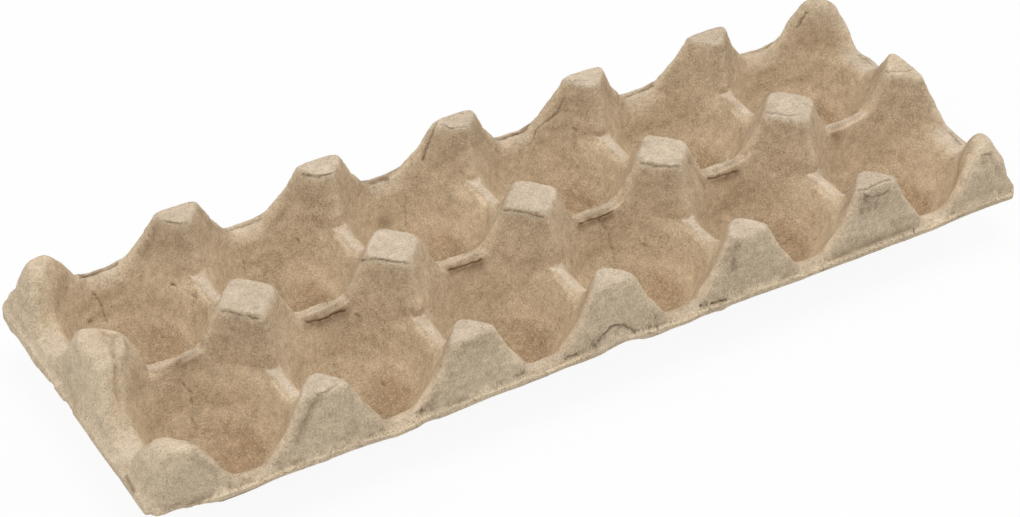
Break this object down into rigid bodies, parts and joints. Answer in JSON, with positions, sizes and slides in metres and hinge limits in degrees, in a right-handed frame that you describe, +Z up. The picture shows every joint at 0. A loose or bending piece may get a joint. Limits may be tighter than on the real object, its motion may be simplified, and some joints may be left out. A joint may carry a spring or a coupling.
{
  "type": "pulp egg tray",
  "caption": "Open moulded-pulp egg tray: rounded cups in rows between hollow square-topped posts, low saddles between the cups and a narrow flat rim all round.",
  "frame": {"origin": "on the table under the middle of the tray, level with the cup floors", "axes": "+X along the long rows of cups, +Y across the rows, +Z up out of the cups"},
  "size_m": [0.297, 0.1, 0.0385],
  "materials": {
    "pulp": "matt grey-brown pulp"
  },
  "bodies": {
    "root": {"egg_tray": "pulp"}
  },
  "joints": []
}
